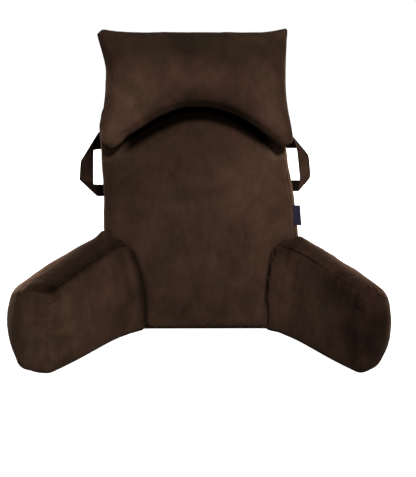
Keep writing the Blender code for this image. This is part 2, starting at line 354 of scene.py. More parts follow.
# A line through the points, its corners eased, with a point at every step
def evenPath(path, rounds):
    _, length = evenPoints(path, 2)
    line, _ = evenPoints(path, max(int(length / seamStep), 4))
    closed = np.linalg.norm(line[0] - line[-1]) < seamStep / 100
    for _ in range(rounds):
        inner = (line[:-2] + 2 * line[1:-1] + line[2:]) / 4
        ends = (line[1] + 2 * line[0] + line[-2]) / 4
        line = np.vstack([ends, inner, ends]) if closed else np.vstack([line[0], inner, line[-1]])
    return line


backSurface = surfaceOf("back")


# The nearest places of a surface, the way it faces there, and how far they are
def nearestOn(surface, coords):
    found = [surface.find_nearest(point) for point in coords]
    spots, facings = (np.array([row[i] for row in found]) for i in (0, 1))
    return spots, facings, np.array([row[3] for row in found])


def lengthOf(line):
    return seamStep * (len(line) - 1)


# Lines along the edges that a rule picks on a solid
def seamLines(node, pick, rounds, leastPoints=2):
    shape = solidShape(node)
    lines = [evenPath(path, rounds) for path in chainsOf(pick(shape)) if len(path) >= leastPoints]
    shape.free()
    return lines


# The valleys of a solid are its sewn edges; those inside the joint to the back are left out
def valleySeams(node, plan, acrossAxis):
    limit = math.radians(plan["foldAngle"])

    def isSeam(line):
        run = Vector(line[-1] - line[0])
        if lengthOf(line) < plan["shortestSeam"]:
            return False
        if run.length > 0 and abs(run.normalized().dot(acrossAxis)) > 0.75:
            return False  # a fold across a strip, not its seam
        return node == "back" or backSurface.find_nearest(Vector(line[len(line) // 2]))[3] >= 0.004

    def valleys(shape):
        return [edge for edge in shape.edges if edge.calc_face_angle_signed(0.0) < -limit]

    return [line for line in seamLines(node, valleys, 40) if isSeam(line)]


# The outline of the face with which an arm is sewn to the back
def rootSeams(node, touching):
    def outline(shape):
        near = {corner: backSurface.find_nearest(corner.co)[3] < touching for corner in shape.verts}
        sewn = {face for face in shape.faces if all(near[corner] for corner in face.verts)}
        return [edge for edge in shape.edges if sum(face in sewn for face in edge.link_faces) == 1]

    return [line for line in seamLines(node, outline, 60) if lengthOf(line) > 0.1]


# The rim of the neck pillow, where its two panels face apart
def rimSeams(node, facing):
    def rim(shape):
        return [edge for edge in shape.edges
                if len({face.normal.dot(facing) > 0 for face in edge.link_faces}) == 2]

    return seamLines(node, rim, 2, leastPoints=21)


# Shapes of cloth
def coordsOf(mesh):
    coords = np.empty(len(mesh.vertices) * 3)
    mesh.vertices.foreach_get("co", coords)
    return coords.reshape(-1, 3)


def normalsOf(mesh):
    normals = np.empty(len(mesh.vertices) * 3)
    mesh.vertex_normals.foreach_get("vector", normals)
    return normals.reshape(-1, 3)


def setCoords(mesh, coords):
    mesh.vertices.foreach_set("co", coords.ravel())
    mesh.update()


def setAttribute(mesh, name, values):
    layer = mesh.attributes.get(name) or mesh.attributes.new(name, "FLOAT", "POINT")
    layer.data.foreach_set("value", values.astype(np.float32))


def smoothStep(value, low, high):
    share = np.clip((value - low) / (high - low), 0.0, 1.0)
    return share * share * (3 - 2 * share)


def cloudField(coords, scale, seed):
    shift = Vector((seed * 3.7, seed * 1.3, seed * 2.1))
    return np.array([noise.noise(Vector(point) * scale + shift) for point in coords])


# 1 on the spot, and falling away to nothing past twice the reach
def bell(distance, reach):
    return np.exp(-(distance / reach) ** 2)


def unit(vectors):
    return vectors / np.maximum(np.linalg.norm(vectors, axis=1, keepdims=True), 1e-9)


# Where each point of a cover lies against a set of seams; an upright seam shows less than a level one
class SeamMap:
    def __init__(self, seams, upright=1.0):
        rises = [abs(line[-1][2] - line[0][2]) / lengthOf(line) for line in seams]
        self.weights = np.concatenate([
            np.full(len(line), 1 + (upright - 1) * (rise > 0.7)) for line, rise in zip(seams, rises)])
        self.points = np.concatenate(seams)
        self.tangents = np.concatenate([unit(np.gradient(line, axis=0)) for line in seams])
        # Seams count on from each other by 7 m, so that no two pucker alike
        self.along = np.concatenate([
            np.arange(len(line)) * seamStep + 7.0 * i for i, line in enumerate(seams)])
        self.tree = KDTree(len(self.points))
        for i, point in enumerate(self.points):
            self.tree.insert(point, i)
        self.tree.balance()

    def distance(self, coords):
        return self.measure(coords)[0]

    def measure(self, coords, normals=None):
        index = np.array([self.tree.find(point)[1] for point in coords])
        offset = coords - self.points[index]
        tangent = self.tangents[index]
        run = np.clip((offset * tangent).sum(axis=1), -seamStep, seamStep)
        offset = offset - tangent * run[:, None]
        distance = np.linalg.norm(offset, axis=1)
        side = np.ones(len(coords))
        if normals is not None:
            side = np.sign((offset * np.cross(tangent, normals)).sum(axis=1))
        return distance, side, self.along[index] + run, offset, self.weights[index]


def evaluated(piece):
    result = bpy.data.meshes.new_from_object(piece.evaluated_get(bpy.context.evaluated_depsgraph_get()))
    piece.modifiers.clear()
    old = piece.data
    piece.data = result
    bpy.data.meshes.remove(old)
    return result


def edgePairs(mesh):
    edges = np.empty(len(mesh.edges) * 2, dtype=np.int64)
    mesh.edges.foreach_get("vertices", edges)
    return edges.reshape(-1, 2)


# Evens out values over a mesh, a column at a time; held points keep theirs
def spreadOut(mesh, values, rounds, held=None, share=0.5):
    edges = edgePairs(mesh)
    count = np.maximum(np.bincount(edges.ravel(), minlength=len(values)), 1)
    weight = share if held is None else share * (1 - held)
    columns = values.reshape(len(values), -1).T.copy()
    for _ in range(rounds):
        for column in columns:
            total = np.bincount(edges[:, 0], column[edges[:, 1]], len(values))
            total += np.bincount(edges[:, 1], column[edges[:, 0]], len(values))
            column += (total / count - column) * weight
    return columns.T.reshape(values.shape)


def eased(mesh, rounds, held=None):
    setCoords(mesh, spreadOut(mesh, coordsOf(mesh), rounds, held))


def newPiece(name, mesh):
    piece = bpy.data.objects.new(name, mesh)
    scene.collection.objects.link(piece)
    return piece


def pieceFrom(name, shape):
    mesh = bpy.data.meshes.new(name)
    shape.to_mesh(mesh)
    shape.free()
    return newPiece(name, mesh)


def subdivided(piece, kind="CATMULL_CLARK"):
    change = piece.modifiers.new("fine", "SUBSURF")
    change.subdivision_type = kind
    change.levels = change.render_levels = 1
    evaluated(piece)


def remeshed(name, node, voxel):
    piece = pieceFrom(name, solidShape(node))
    change = piece.modifiers.new("even", "REMESH")
    change.mode = "VOXEL"
    change.voxel_size = voxel
    evaluated(piece)
    return piece


# The pillow's own quads, split evenly, so that its sharp rim and its ears stay
def splitGrid(name, node):
    shape = solidShape(node)
    bmesh.ops.join_triangles(shape, faces=shape.faces, angle_face_threshold=math.pi,
                             angle_shape_threshold=math.pi)
    piece = pieceFrom(name, shape)
    subdivided(piece, "SIMPLE")
    return piece


lastFrame = 20  # of the simulation


# Blows the cover up between its seams, which hold it, and brings no point further than the cap
def inflate(piece, held, plan):
    mesh = piece.data
    start = coordsOf(mesh)
    loose = smoothStep(1 - held, 0.0, 1.0)
    setCoords(mesh, start - normalsOf(mesh) * (plan["deflate"] * loose)[:, None])
    pins = piece.vertex_groups.new(name="held")
    for index, weight in enumerate(held):
        if weight > 0:
            pins.add([index], float(weight), "REPLACE")
    change = piece.modifiers.new("filling", "CLOTH")
    cloth = change.settings
    cloth.quality = 6
    cloth.mass = 0.3
    cloth.tension_stiffness = cloth.compression_stiffness = plan["stiffness"]
    cloth.shear_stiffness = plan["stiffness"] / 2
    cloth.bending_stiffness = plan["bending"]
    cloth.air_damping = 4.0
    cloth.vertex_group_mass = "held"
    cloth.pin_stiffness = 1.0
    cloth.use_pressure = True
    cloth.uniform_pressure_force = plan["pressure"]
    cloth.effector_weights.gravity = 0
    change.point_cache.frame_start = 1
    change.point_cache.frame_end = lastFrame
    for number in range(1, lastFrame + 1):
        scene.frame_set(number)
    evaluated(piece)
    piece.vertex_groups.clear()
    mesh = piece.data
    moved = coordsOf(mesh) - start
    size = np.linalg.norm(moved, axis=1, keepdims=True)
    moved *= np.minimum(1.0, plan["cap"] / np.maximum(size, 1e-9))
    setCoords(mesh, start + moved)
    scene.frame_set(1)


# Splits the faces near the seams once more
def refined(piece, seamMap, reach):
    shape = bmesh.new()
    shape.from_mesh(piece.data)
    middles = np.array([face.calc_center_median() for face in shape.faces])
    near = seamMap.distance(middles) < reach
    edges = {edge for face, isNear in zip(shape.faces, near) if isNear for edge in face.edges}
    bmesh.ops.subdivide_edges(shape, edges=list(edges), cuts=1, use_grid_fill=True)
    shape.to_mesh(piece.data)
    shape.free()
    piece.data.update()


# Brings the cover's broad shape back onto its solid, and leaves the finer swellings
def toPattern(mesh, surface, rounds, proud):
    coords, normals = coordsOf(mesh), normalsOf(mesh)
    gap = ((coords - nearestOn(surface, coords)[0]) * normals).sum(axis=1)
    gap = spreadOut(mesh, gap, rounds)
    setCoords(mesh, coords + normals * (proud - gap)[:, None])


def lumps(mesh, size, scale, seed):
    coords, normals = coordsOf(mesh), normalsOf(mesh)
    wave = cloudField(coords, scale, seed) + 0.45 * cloudField(coords, scale * 2.3, seed + 1)
    wave *= smoothStep(coords[:, 2], 0.005, 0.05)  # the foot stays flat
    setCoords(mesh, coords + normals * (wave * size)[:, None])


def onFloor(mesh):
    coords = coordsOf(mesh)
    coords[:, 2] = np.maximum(coords[:, 2], 0.0)
    setCoords(mesh, coords)


# Draws a sewn line in, and puckers the cloth on both sides of it
def sewIn(piece, seamMap, plan, seed):
    mesh = piece.data
    coords, normals = coordsOf(mesh), normalsOf(mesh)
    distance, _, _, offset, _ = seamMap.measure(coords)
    # Points that lie close to the seam are moved onto it, so that the drawn-in line runs true
    close = distance < plan["snap"]
    flat = offset - normals * (offset * normals).sum(axis=1)[:, None]
    coords[close] -= flat[close]
    setCoords(mesh, coords)
    normals = normalsOf(mesh)
    distance, side, along, _, weight = seamMap.measure(coords, normals)
    groove = plan["groove"] * bell(distance, plan["grooveWidth"])
    lip = plan["lip"] * bell(distance - plan["lipAt"], plan["lipWidth"])
    near = np.where(distance < plan["puckerReach"])[0]
    # The puckers change slowly away from the seam, and differ on its two sides
    rows = np.stack([along[near] / plan["puckerPitch"], distance[near] * 22, side[near] * 5 + seed], axis=1)
    ripple = np.array([noise.noise(Vector(row)) for row in rows])
    rise = distance[near] / plan["puckerPeak"]
    pucker = np.zeros(len(coords))
    pucker[near] = plan["pucker"] * ripple * rise * np.exp(1 - rise) * 1.6
    strength = np.clip(0.55 + 0.9 * cloudField(coords[near], 9.0, seed + 3), 0.15, 1.5)
    for row in plan.get("gathers", []):
        away = np.linalg.norm(coords[near] - spotUnder(piece, row["pixel"]), axis=1)
        strength += row["strength"] * bell(away, row["reach"])
    pucker[near] *= strength * smoothStep(coords[near, 2], 0.012, 0.035)
    setCoords(mesh, coords + normals * (pucker + lip - groove)[:, None])
    setAttribute(mesh, "seamSide", distance * side)
    setAttribute(mesh, "seamReach", distance)
    setAttribute(mesh, "seamWeight", weight)


# The place of a piece that a pixel of the picture shows
def spotUnder(piece, pixel):
    surface = BVHTree.FromObject(piece, bpy.context.evaluated_depsgraph_get())
    spot = surface.ray_cast(*pixelRay(cameraPlan, camera, pixel))[0]
    if spot is None:
        print("no cloth under", pixel)
        return np.full(3, 9.0)
    return np.array(spot)


# Each row of a plan works round the place under a pixel, out to a reach in metres
def patch(pixel, reach, tone, hue=0.0):
    return {"pixel": pixel, "reach": reach, "tone": tone, "hue": hue}


def shift(pixel, reach, move):
    return {"pixel": pixel, "reach": reach, "move": move}


# Moves the cloth about
def shifted(piece, rows):
    coords = coordsOf(piece.data)
    for row in rows:
        away = np.linalg.norm(coords - spotUnder(piece, row["pixel"]), axis=1)
        coords += bell(away, row["reach"])[:, None] * np.array(row["move"])
    setCoords(piece.data, coords)


# Darker, lighter, pinker or more olive places: some of the nap, some painted light and shade
def napAndPaintedLightPatches(piece, patches, seed, tone):
    coords = coordsOf(piece.data)
    hue = np.zeros(len(coords))
    ragged = cloudField(coords, 24.0, seed) + 0.5 * cloudField(coords, 60.0, seed + 1)
    for row in patches:
        spot = spotUnder(piece, row["pixel"])
        size = np.linalg.norm((coords - spot) / np.array(row["reach"]), axis=1)
        share = bell(size * (1 + 0.55 * ragged), 1.0)
        tone = tone * (1 + (row["tone"] - 1) * share)
        hue += row["hue"] * share
    setAttribute(piece.data, "napAndPaintedLight", tone)
    setAttribute(piece.data, "napHue", hue)


# How firmly the seams and the foot hold a cover while it is blown up
def heldBy(seams, coords, plan):
    held = np.clip(1.6 - seams.distance(coords) / plan["voxel"], 0.0, 1.0)  # the nearest points, fully
    return np.maximum(held, coords[:, 2] < plan["heldFoot"])


# Splits a cover near its seams and its sewn ends, puts it back round its solid and adds lumps
def settled(piece, seams, roots, surface, plan):
    refined(piece, seams, plan["fineReach"])
    for root in roots:
        refined(piece, root, plan["fineReach"])
        refined(piece, root, plan["fineReach"] / 2)
    toPattern(piece.data, surface, plan["restRounds"], plan["proud"])
    lumps(piece.data, plan["lumps"], plan["lumpScale"], plan["seed"])


def finishCushion(piece, node):
    piece.data.materials.clear()
    piece.data.materials.append(velourCloth)
    piece.data.shade_smooth()
    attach(piece, "root")
    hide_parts(node)


armPlan = {
    "voxel": 0.0052, "deflate": 0.003, "pressure": 1.6, "cap": 0.012, "stiffness": 12.0, "bending": 1.2,
    "restRounds": 30, "proud": 0.0018, "fineReach": 0.010, "snap": 0.0010,
    "groove": 0.0008, "grooveWidth": 0.0022, "lip": 0.0, "lipAt": 0.0055, "lipWidth": 0.003,
    "pucker": 0.0010, "puckerPitch": 0.010, "puckerPeak": 0.009, "puckerReach": 0.05,
    "lumps": 0.0020, "lumpScale": 15.0,
    "crease": 0.009, "pressed": 0.003, "sewnGap": 0.003, "sinkReach": 0.012,
    "splay": 39.0, "uprightSeam": 0.5, "topShadeReach": 0.08, "topShadeFacing": (0.35, 0.65),
    "rimHighlightFacing": (0.1, 0.5), "rimHighlightUp": (0.2, 0.6), "rimPaintedHighlight": 2.8,  # painted highlight along the outer top rim
    "creaseTop": (0.185, 0.222), "creaseFoot": (0.0, 0.02), "creaseRest": 0.12,
    "easedReach": (0.006, 0.014),
    "rootRounds": 30, "rootReach": (0.012, 0.022),
    "foldAngle": 12, "shortestSeam": 0.05, "heldFoot": 0.004, "heldRoot": 0.006, "fill": 0.75,
}

arms = [
    {**armPlan, "node": "arm_left", "name": "armLeft", "side": -1, "seed": 5, "topPaintedShade": 0.5,
     "creaseWidth": 0.0055, "rootRound": 0.006, "rootShade": 0.5, "rootShadeWidth": 0.010,
     "shadeFoot": (0.0, 0.001), "ridgeShade": 0.5, "ridgeReach": 0.011, "ridgeFacing": (0.0, 0.3),
     "gathers": [{"pixel": (56, 292), "reach": 0.030, "strength": 1.6}],
     # The cloth of the arm's top runs up the back's side a little
     "shifts": [shift((103, 236), 0.013, (0.0, 0.0, 0.013)),
                shift((62, 262), 0.065, (-0.001, 0.0, 0.003)),
                shift((141, 325), 0.018, (0.0, 0.0, 0.004)),
                shift((22, 361), 0.020, (-0.004, -0.005, 0.0))],
     "patches": [
         patch((53, 290), 0.018, 0.45),
         patch((90, 320), 0.09, 1.45, 0.25),
         patch((30, 330), 0.09, 1.3, -0.2),
         patch((122, 262), 0.03, 0.8),
         # painted shade where the crease begins under the ridge
         patch((129, 244), 0.012, 0.5),
     ]},
    {**armPlan, "node": "arm_right", "name": "armRight", "side": 1, "seed": 7, "topPaintedShade": 0.85,
     "creaseWidth": 0.0036, "rootRound": 0.0018, "rootShade": 0.7, "rootShadeWidth": 0.0028,
     "shadeFoot": (0.05, 0.08), "ridgeShade": 0.75, "ridgeReach": 0.0023, "ridgeFacing": (-2.0, -1.0),
     "gathers": [{"pixel": (350, 288), "reach": 0.035, "strength": 3.0}],
     "shifts": [shift((300, 238), 0.014, (0.0, 0.0, 0.003)),
                shift((276, 326), 0.024, (0.0, 0.0, 0.005)),
                shift((379, 345), 0.05, (0.003, 0.0, 0.0))],
     "patches": [
         patch((344, 290), (0.045, 0.06, 0.030), 0.42, 0.4),
         patch((370, 340), (0.065, 0.12, 0.14), 0.27, 0.7),
         patch((290, 280), 0.06, 1.2, 0.1),
         patch((315, 315), 0.07, 1.45, -0.2),
         patch((288, 248), 0.035, 0.6, 0.3),
     ]},
]

armRoots = {row["node"]: SeamMap(rootSeams(row["node"], 0.0016)) for row in arms}
armSurfaces = {row["node"]: surfaceOf(row["node"]) for row in arms}
for node, seams in armRoots.items():
    print(node, "root line of", len(seams.points), "points")


# The crease is deep below the arm's ridge, and slight over the arm's top and at the foot
def creaseShare(row, heights):
    top = 1 - smoothStep(heights, *row["creaseTop"])
    return top + row["creaseRest"] * (1 - top), smoothStep(heights, *row["creaseFoot"])


# Draws the back in where an arm is sewn to it, and returns the painted shade along that crease
def creased(mesh, rows):
    coords, normals = coordsOf(mesh), normalsOf(mesh)
    spots = nearestOn(backSurface, coords)[0]
    depth, paintedShadeAndLight, clear = np.zeros(len(coords)), np.ones(len(coords)), np.ones(len(coords))
    for row in rows:
        away = armRoots[row["node"]].distance(spots)
        sewn = 1 - smoothStep(nearestOn(armSurfaces[row["node"]], spots)[2], 0.0012, row["sewnGap"])
        share = np.maximum(sewn, bell(away, row["creaseWidth"]))
        top, foot = creaseShare(row, coords[:, 2])
        depth = np.maximum(depth, row["crease"] * share * top * foot)
        # Painted shade: a dark line along the root line, where the crease is
        line = top * smoothStep(coords[:, 2], *row["shadeFoot"]) * bell(away, row["rootShadeWidth"])
        paintedShadeAndLight *= 1 - row["rootShade"] * line
        clear *= smoothStep(away, *row["easedReach"])
    setCoords(mesh, coords - normals * spreadOut(mesh, depth, 3)[:, None])
    eased(mesh, 20, clear)
    return paintedShadeAndLight


backPlan = {
    "voxel": 0.0068, "deflate": 0.004, "pressure": 1.2, "cap": 0.016, "stiffness": 12.0, "bending": 1.5,
    "restRounds": 30, "proud": 0.0018, "fineReach": 0.010, "snap": 0.0012,
    "groove": 0.0018, "grooveWidth": 0.0028, "lip": 0.0002, "lipAt": 0.006, "lipWidth": 0.003,
    "pucker": 0.0008, "puckerPitch": 0.013, "puckerPeak": 0.010, "puckerReach": 0.05,
    "lumps": 0.0018, "lumpScale": 13.0, "seed": 3, "uprightSeam": 0.3, "edgePaintedHighlight": 1.1,
    "foldAngle": 8, "shortestSeam": 0.06, "heldFoot": 0.004, "fill": 0.75,
    # Painted shadow on the front under the neck pillow's arch: how dark, how far below, from where to where,
    # and how high
    "shadowTone": 0.06, "shadowGap": (0.036, 0.052), "shadowStart": (-0.190, -0.155),
    "shadowEnd": (0.150, 0.190), "shadowTop": (0.562, 0.578), "frontFacing": (0.55, 0.8),
    "sideHighlightFacing": (0.5, 0.85), "sideHighlightFrom": (0.19, 0.21),
    "patches": [
        # painted shade on the back under the neck pillow's arch
        patch((195, 135), (0.17, 0.10, 0.08), 0.68),
        patch((265, 190), (0.10, 0.1, 0.16), 1.35, 0.3),
        patch((115, 185), 0.09, 0.85),
        # painted shade low on the back between the arms
        patch((200, 312), (0.25, 0.10, 0.05), 0.90),
        # painted light: these two lighten the shadows under the pillow's lobes
        patch((108, 153), (0.035, 0.06, 0.018), 1.9),
        patch((283, 152), (0.030, 0.06, 0.018), 1.8),
    ],
}


def makeBack(plan):
    piece = remeshed("backCushion", "back", plan["voxel"])
    eased(piece.data, 2)
    seams = SeamMap(valleySeams("back", plan, Vector((0, 1, 0))), plan["uprightSeam"])
    inflate(piece, heldBy(seams, coordsOf(piece.data), plan), plan)
    subdivided(piece)
    settled(piece, seams, armRoots.values(), backSurface, plan)
    sewIn(piece, seams, plan, plan["seed"])
    paintedShadeAndLight = creased(piece.data, arms)
    coords = coordsOf(piece.data)
    # Painted shadow on the back's front under the neck pillow's arch
    archPaintedShadow = 1 - smoothStep(nearestOn(surfaceOf("neck_pillow"), coords)[2], *plan["shadowGap"])
    archPaintedShadow *= smoothStep(coords[:, 0], *plan["shadowStart"])
    archPaintedShadow *= 1 - smoothStep(coords[:, 0], *plan["shadowEnd"])
    archPaintedShadow *= 1 - smoothStep(coords[:, 2], *plan["shadowTop"])
    archPaintedShadow *= smoothStep(-normalsOf(piece.data)[:, 1], *plan["frontFacing"])
    paintedShadeAndLight *= 1 + (plan["shadowTone"] - 1) * archPaintedShadow
    onFloor(piece.data)
    # Painted highlight on the edges to the side panels, lighter where they turn sideways
    sideways = np.abs(normalsOf(piece.data)[:, 0])
    outside = smoothStep(np.abs(coords[:, 0]), *plan["sideHighlightFrom"])
    paintedShadeAndLight *= 1 + plan["edgePaintedHighlight"] * smoothStep(sideways, *plan["sideHighlightFacing"]) * outside
    napAndPaintedLightPatches(piece, plan["patches"], plan["seed"], paintedShadeAndLight)
    finishCushion(piece, "back")


# Sinks the arm's sewn end into the crease, rounded in; returns each point's distance to the root line
def seated(mesh, row):
    coords = coordsOf(mesh)
    root = armRoots[row["node"]]
    spots, turned, _ = nearestOn(armSurfaces[row["node"]], coords)
    _, facings, gaps = nearestOn(backSurface, spots)
    away = root.distance(spots)
    sewn = (gaps < row["sewnGap"]) & ((turned * facings).sum(axis=1) < -0.85)
    # The way the back faces along the root line, evened out over its facets
    half = 30  # steps to each side
    outward = np.pad(nearestOn(backSurface, root.points)[1], ((half, half), (0, 0)), mode="wrap")
    window = np.ones(2 * half + 1)
    outward = unit(np.stack([np.convolve(column, window, "valid") for column in outward.T], axis=1))
    inward = np.cross(root.tangents, outward)
    inward *= np.sign((inward * (root.points.mean(axis=0) - root.points)).sum(axis=1))[:, None]
    nearest = np.array([root.tree.find(point)[1] for point in spots])
    inward, outward = unit(inward)[nearest], outward[nearest]
    size = row["rootRound"]
    rounded = 1 - np.sqrt(1 - np.clip(1 - away / size, 0.0, 1.0) ** 2)
    inset = size * np.where(sewn, np.clip(1 - away / (3 * size), 0.0, 1.0), rounded)
    top, foot = creaseShare(row, coords[:, 2])
    sink = (row["crease"] - row["pressed"]) * top * foot * (1 - smoothStep(gaps, 0.0, row["sinkReach"]))
    move = inward * (inset * top * foot)[:, None] - outward * sink[:, None]
    setCoords(mesh, coords + spreadOut(mesh, move, 2))
    eased(mesh, 14, smoothStep(away, *row["easedReach"]))
    return away


def makeArm(row):
    piece = remeshed(row["name"], row["node"], row["voxel"])
    eased(piece.data, 2)
    splay = math.radians(row["splay"])
    across = Vector((row["side"] * math.cos(splay), math.sin(splay), 0))
    seams = SeamMap(valleySeams(row["node"], row, across), row["uprightSeam"])
    root = armRoots[row["node"]]
    coords = coordsOf(piece.data)
    sewn = nearestOn(backSurface, coords)[2] < row["heldRoot"]
    inflate(piece, np.maximum(heldBy(seams, coords, row), sewn), row)
    subdivided(piece)
    # The remesh leaves steps along the sharp edge of the sewn end
    clear = smoothStep(root.distance(coordsOf(piece.data)), *row["rootReach"])
    eased(piece.data, row["rootRounds"], clear)
    settled(piece, seams, [root], armSurfaces[row["node"]], row)
    away = seated(piece.data, row)
    sewIn(piece, seams, row, row["seed"])
    shifted(piece, row["shifts"])
    onFloor(piece.data)
    coords, normals = coordsOf(piece.data), normalsOf(piece.data)
    # Painted shade along the crease where the arm is sewn to the back
    deep, _ = creaseShare(row, coords[:, 2])
    tone = 1 - row["rootShade"] * deep * bell(away, row["rootShadeWidth"])
    distance, _, _, _, weight = seams.measure(coords)
    # Painted shade on the up-facing top strip, for how the light falls on it
    top = smoothStep(normals[:, 2], *row["topShadeFacing"]) * (1 - smoothStep(distance, 0.01, row["topShadeReach"]))
    tone *= 1 + (row["topPaintedShade"] - 1) * top
    # Painted highlight along the outer top rim, where a light from behind would graze it
    rim = smoothStep(normals @ np.array(across), *row["rimHighlightFacing"]) * smoothStep(normals[:, 2], *row["rimHighlightUp"])
    tone *= 1 + row["rimPaintedHighlight"] * rim
    ridge = weight * bell(distance, row["ridgeReach"]) * smoothStep(normals[:, 2], *row["ridgeFacing"])
    tone *= 1 - row["ridgeShade"] * ridge
    napAndPaintedLightPatches(piece, row["patches"], row["seed"], tone)
    finishCushion(piece, row["node"])


neckPlan = {
    "deflate": 0.003, "pressure": 1.6, "cap": 0.012, "stiffness": 12.0, "bending": 1.0,
    "restRounds": 20, "proud": 0.0006, "snap": 0.0,
    "groove": 0.0, "grooveWidth": 0.0030, "lip": -0.0012, "lipAt": 0.006, "lipWidth": 0.003,
    "pucker": 0.0009, "puckerPitch": 0.014, "puckerPeak": 0.012, "puckerReach": 0.06,
    "lumps": 0.0018, "lumpScale": 14.0, "seed": 11, "heldRim": 0.0015, "fill": 0.7,
    "lean": 13.0,  # degrees from upright of the plane in which its rim lies
    # darker all over: painted shade, as the pillow faces up into the key more than the back
    "tone": 0.9,
    # The outer corners of the two lobes are full
    "shifts": [
        shift((108.5, 138.5), 0.021, (-0.0125, -0.0019, -0.0080)),
        shift((126, 136), 0.016, (0.0, 0.0016, 0.0070)),
        shift((286, 136), 0.021, (0.0070, -0.0030, -0.0130)),
    ],
    "patches": [
        # painted shade on the pillow's up-facing top, with an olive cast
        patch((195, 47), (0.22, 0.10, 0.035), 0.68, -0.5),
        patch((122, 120), 0.07, 1.75, 0.4),
        patch((190, 75), (0.16, 0.1, 0.04), 1.06, 0.4),
        patch((268, 118), 0.06, 1.4, 0.1),
    ],
}


def makeNeck(plan):
    piece = splitGrid("neckPillow", "neck_pillow")
    lean = math.radians(plan["lean"])
    seams = SeamMap(rimSeams("neck_pillow", Vector((0.0, -math.cos(lean), math.sin(lean)))))
    mesh = piece.data
    held = (seams.distance(coordsOf(mesh)) < plan["heldRim"]).astype(float)
    eased(mesh, 1, held)
    inflate(piece, held, plan)
    mesh = piece.data
    # The rim stays sharp through the subdivision, and so do its corners
    onRim = held > 0.5
    pairs = edgePairs(mesh)
    crease = mesh.attributes.new("crease_edge", "FLOAT", "EDGE")
    crease.data.foreach_set("value", (onRim[pairs[:, 0]] & onRim[pairs[:, 1]]).astype(np.float32))
    subdivided(piece)
    mesh = piece.data
    crease = mesh.attributes.get("crease_edge")
    if crease:
        mesh.attributes.remove(crease)
    toPattern(mesh, surfaceOf("neck_pillow"), plan["restRounds"], plan["proud"])
    lumps(mesh, plan["lumps"], plan["lumpScale"], plan["seed"])
    sewIn(piece, seams, plan, plan["seed"])
    shifted(piece, plan["shifts"])
    napAndPaintedLightPatches(piece, plan["patches"], plan["seed"], np.full(len(mesh.vertices), plan["tone"]))
    finishCushion(piece, "neck_pillow")


makeBack(backPlan)
print("back made")
for row in arms:
    makeArm(row)
    print(row["name"], "made")
makeNeck(neckPlan)
print("neck pillow made")


handlePlan = {
    "thickness": 0.0036, "edgeRound": 0.0022, "stitchInset": 0.0034,
    "grooveDepth": 0.0007, "grooveWidth": 0.0012,
    "puff": 0.0008, "tuck": 0.007, "wave": 0.0007, "waveScale": 60.0, "step": 0.0016, "across": 24,
    "stitchPitch": 0.0036, "stitchLength": 0.0026, "thread": 0.0006,
    "stitchShade": 0.35, "stitchShadeWidth": 0.0014, "edgeShade": 0.6, "edgeShadeWidth": 0.002,
    "threadColor": (0.030, 0.018, 0.013, 1.0),
}

# Each strap's corners give how far from the middle plane, and how high; its bands run between them
handles = [
    # The left strap is darker all over than the right: painted shade, on the side away from the key light
    {"node": "handle_left", "name": "handleLeft", "side": -1, "seed": 21, "ease": 1,
     "width": 0.036, "length": 0.185,
     "corners": {"top": (0.222, 0.4686), "mouth": (0.2471, 0.4686), "shoulder": (0.2941, 0.3962),
                 "reach": (0.2987, 0.3492), "elbow": (0.2560, 0.3073), "foot": (0.222, 0.3073),
                 "holeStart": (0.222, 0.4254), "holeTop": (0.2611, 0.4254), "holeFoot": (0.2641, 0.3373),
                 "holeEnd": (0.222, 0.3373)},
     "bands": [
         {"outer": ("top", "mouth", "shoulder"), "inner": ("holeStart", "holeTop"), "lift": 0.0011,
          "onward": ("reach", "holeFoot"), "tone": 0.30, "hue": -0.2},
         {"outer": ("shoulder", "reach"), "inner": ("holeTop", "holeFoot"), "lift": -0.0011,
          "tone": 0.62, "hue": 0.5},
         {"outer": ("foot", "elbow", "reach"), "inner": ("holeEnd", "holeFoot"), "lift": 0.0011,
          "onward": ("shoulder", "holeTop"), "tone": 0.42, "hue": -0.3},
     ]},
    {"node": "handle_right", "name": "handleRight", "side": 1, "seed": 27, "ease": 6,
     "width": 0.034, "length": 0.198,
     "corners": {"top": (0.198, 0.4623), "mouth": (0.2317, 0.4623), "shoulder": (0.2761, 0.4115),
                 "reach": (0.2825, 0.3556), "elbow": (0.2520, 0.3200), "foot": (0.205, 0.3200),
                 "holeStart": (0.198, 0.4288), "holeTop": (0.2457, 0.4288), "holeFoot": (0.2558, 0.3480),
                 "holeEnd": (0.205, 0.3480)},
     "bands": [
         # nearly black where it runs in behind the pillow's lobe: painted shadow
         {"outer": ("top", "mouth"), "inner": ("holeStart", "holeTop"), "lift": 0.0011,
          "onward": ("shoulder", "holeFoot"), "tone": 0.1, "hue": -0.2},
         # lighter: painted light, on the side facing the key
         {"outer": ("mouth", "shoulder", "reach", "elbow"), "inner": ("holeTop", "holeFoot"),
          "lift": -0.0011, "tone": 1.45, "hue": 0.2},
         {"outer": ("foot", "elbow"), "inner": ("holeEnd", "holeFoot"), "lift": 0.0011,
          "onward": ("reach", "holeTop"), "tone": 0.4, "hue": -0.2},
     ]},
]


# An edge of a band, its bends eased; where it folds it runs on a little behind the next band
def bandRail(row, band, edge, count, tuck):
    points = [np.array(row["corners"][key]) for key in band[edge]]
    fine, length = evenPoints(points, count * 4)
    for _ in range(count * row["ease"]):
        fine[1:-1] = (fine[:-2] + 2 * fine[1:-1] + fine[2:]) / 4
    if "onward" in band:
        after = np.array(row["corners"][band["onward"][edge == "inner"]])
        fine = np.vstack([fine, points[-1] + unit((after - points[-1])[None]) * tuck])
    return evenPoints(fine, count)


